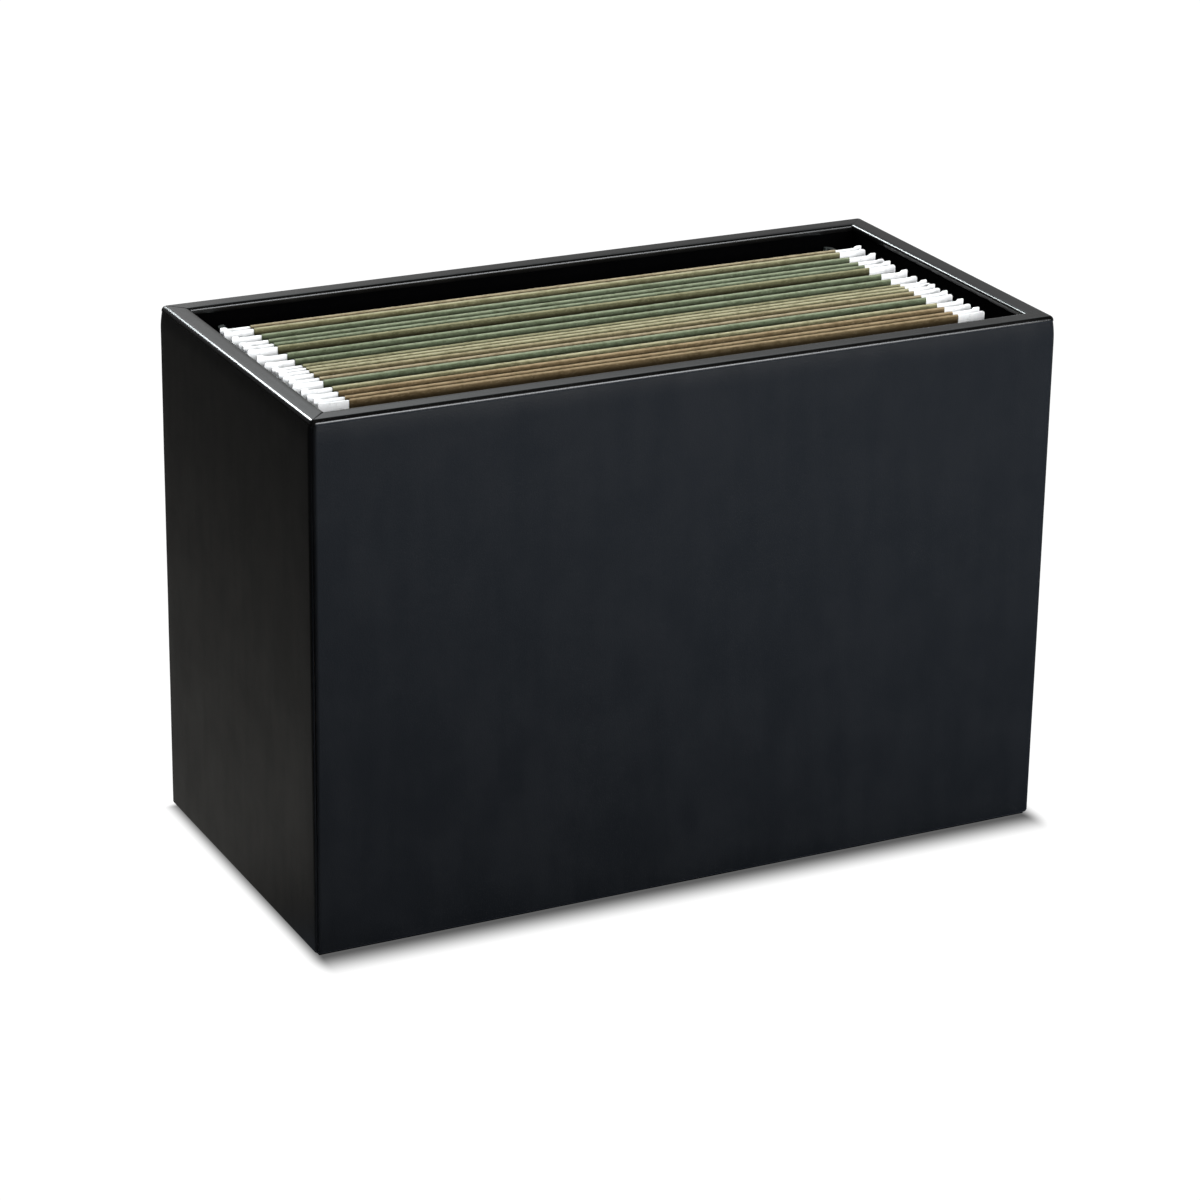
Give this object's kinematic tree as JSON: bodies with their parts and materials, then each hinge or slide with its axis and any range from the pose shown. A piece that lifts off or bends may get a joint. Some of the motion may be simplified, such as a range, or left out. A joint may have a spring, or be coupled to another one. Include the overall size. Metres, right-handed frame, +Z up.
{
  "type": "hanging file box",
  "caption": "Open-topped leather-covered desktop box, lined in felt, with steel rails that carry letter-size hanging folders.",
  "frame": {"origin": "middle of the underside", "axes": "+X along the long side to the right, +Y towards the back, +Z up"},
  "size_m": [0.362, 0.178, 0.245],
  "materials": {
    "leather": "satin",
    "rim_leather": "satin",
    "felt": "matte",
    "fibreboard": "matte",
    "rail_steel": "satin",
    "screw_steel": "satin",
    "coated_rod": "satin",
    "pressboard_tan": "matte",
    "pressboard_beige": "matte",
    "pressboard_khaki": "matte",
    "pressboard_brown": "matte",
    "pressboard_olive": "matte",
    "pressboard_green": "matte"
  },
  "bodies": {
    "box": {"core_front": "fibreboard", "core_back": "fibreboard", "core_left": "fibreboard", "core_right": "fibreboard", "base_board": "fibreboard", "base_felt": "felt", "leather_front": "leather", "leather_back": "leather", "leather_left": "leather", "leather_right": "leather", "rim_front": "rim_leather", "rim_back": "rim_leather", "rim_left": "rim_leather", "rim_right": "rim_leather", "lining_front": "felt", "lining_back": "felt", "lining_left": "felt", "lining_right": "felt", "rail_left": "rail_steel", "rail_right": "rail_steel", "rail_screw_front_left": "screw_steel", "rail_screw_front_right": "screw_steel", "rail_screw_back_left": "screw_steel", "rail_screw_back_right": "screw_steel"},
    "folder_1": {"folder_1_rear_leaf": "pressboard_brown", "folder_1_rear_rod": "coated_rod"},
    "folder_1_front": {"folder_1_front_leaf": "pressboard_brown", "folder_1_front_rod": "coated_rod"},
    "folder_2": {"folder_2_rear_leaf": "pressboard_beige", "folder_2_rear_rod": "coated_rod"},
    "folder_2_front": {"folder_2_front_leaf": "pressboard_brown", "folder_2_front_rod": "coated_rod"},
    "folder_3": {"folder_3_rear_leaf": "pressboard_tan", "folder_3_rear_rod": "coated_rod"},
    "folder_3_front": {"folder_3_front_leaf": "pressboard_green", "folder_3_front_rod": "coated_rod"},
    "folder_4": {"folder_4_rear_leaf": "pressboard_beige", "folder_4_rear_rod": "coated_rod"},
    "folder_4_front": {"folder_4_front_leaf": "pressboard_khaki", "folder_4_front_rod": "coated_rod"},
    "folder_5": {"folder_5_rear_leaf": "pressboard_olive", "folder_5_rear_rod": "coated_rod"},
    "folder_5_front": {"folder_5_front_leaf": "pressboard_beige", "folder_5_front_rod": "coated_rod"},
    "folder_6": {"folder_6_rear_leaf": "pressboard_green", "folder_6_rear_rod": "coated_rod"},
    "folder_6_front": {"folder_6_front_leaf": "pressboard_green", "folder_6_front_rod": "coated_rod"},
    "folder_7": {"folder_7_rear_leaf": "pressboard_green", "folder_7_rear_rod": "coated_rod"},
    "folder_7_front": {"folder_7_front_leaf": "pressboard_olive", "folder_7_front_rod": "coated_rod"},
    "folder_8": {"folder_8_rear_leaf": "pressboard_green", "folder_8_rear_rod": "coated_rod"},
    "folder_8_front": {"folder_8_front_leaf": "pressboard_green", "folder_8_front_rod": "coated_rod"},
    "folder_9": {"folder_9_rear_leaf": "pressboard_tan", "folder_9_rear_rod": "coated_rod"},
    "folder_9_front": {"folder_9_front_leaf": "pressboard_beige", "folder_9_front_rod": "coated_rod"}
  },
  "joints": [
    {"name": "folder_1_lift", "type": "slide", "parent": "box", "child": "folder_1", "axis": [0, 0, 1], "range_m": [0, 0.25]},
    {"name": "folder_1_open", "type": "hinge", "parent": "folder_1", "child": "folder_1_front", "pos_m": [0, -0.0527, 0.0089], "axis": [1, 0, 0], "range_deg": [-0.42, 2]},
    {"name": "folder_2_lift", "type": "slide", "parent": "box", "child": "folder_2", "axis": [0, 0, 1], "range_m": [0, 0.25]},
    {"name": "folder_2_open", "type": "hinge", "parent": "folder_2", "child": "folder_2_front", "pos_m": [0, -0.03975, 0.0089], "axis": [1, 0, 0], "range_deg": [-0.89, 1.11]},
    {"name": "folder_3_lift", "type": "slide", "parent": "box", "child": "folder_3", "axis": [0, 0, 1], "range_m": [0, 0.25]},
    {"name": "folder_3_open", "type": "hinge", "parent": "folder_3", "child": "folder_3_front", "pos_m": [0, -0.02475, 0.0089], "axis": [1, 0, 0], "range_deg": [-0.34, 1.65]},
    {"name": "folder_4_lift", "type": "slide", "parent": "box", "child": "folder_4", "axis": [0, 0, 1], "range_m": [0, 0.25]},
    {"name": "folder_4_open", "type": "hinge", "parent": "folder_4", "child": "folder_4_front", "pos_m": [0, -0.01355, 0.0089], "axis": [1, 0, 0], "range_deg": [-0.44, 0.94]},
    {"name": "folder_5_lift", "type": "slide", "parent": "box", "child": "folder_5", "axis": [0, 0, 1], "range_m": [0, 0.25]},
    {"name": "folder_5_open", "type": "hinge", "parent": "folder_5", "child": "folder_5_front", "pos_m": [0, -0.0056, 0.0089], "axis": [1, 0, 0], "range_deg": [-0.22, 0.19]},
    {"name": "folder_6_lift", "type": "slide", "parent": "box", "child": "folder_6", "axis": [0, 0, 1], "range_m": [0, 0.25]},
    {"name": "folder_6_open", "type": "hinge", "parent": "folder_6", "child": "folder_6_front", "pos_m": [0, 0.0095, 0.0089], "axis": [1, 0, 0], "range_deg": [-1.51, 1.43]},
    {"name": "folder_7_lift", "type": "slide", "parent": "box", "child": "folder_7", "axis": [0, 0, 1], "range_m": [0, 0.25]},
    {"name": "folder_7_open", "type": "hinge", "parent": "folder_7", "child": "folder_7_front", "pos_m": [0, 0.0275, 0.0089], "axis": [1, 0, 0], "range_deg": [-0.42, 2]},
    {"name": "folder_8_lift", "type": "slide", "parent": "box", "child": "folder_8", "axis": [0, 0, 1], "range_m": [0, 0.25]},
    {"name": "folder_8_open", "type": "hinge", "parent": "folder_8", "child": "folder_8_front", "pos_m": [0, 0.0397, 0.0089], "axis": [1, 0, 0], "range_deg": [-1.31, 0.71]},
    {"name": "folder_9_lift", "type": "slide", "parent": "box", "child": "folder_9", "axis": [0, 0, 1], "range_m": [0, 0.25]},
    {"name": "folder_9_open", "type": "hinge", "parent": "folder_9", "child": "folder_9_front", "pos_m": [0, 0.0555, 0.0089], "axis": [1, 0, 0], "range_deg": [-0.32, 1.65]}
  ]
}
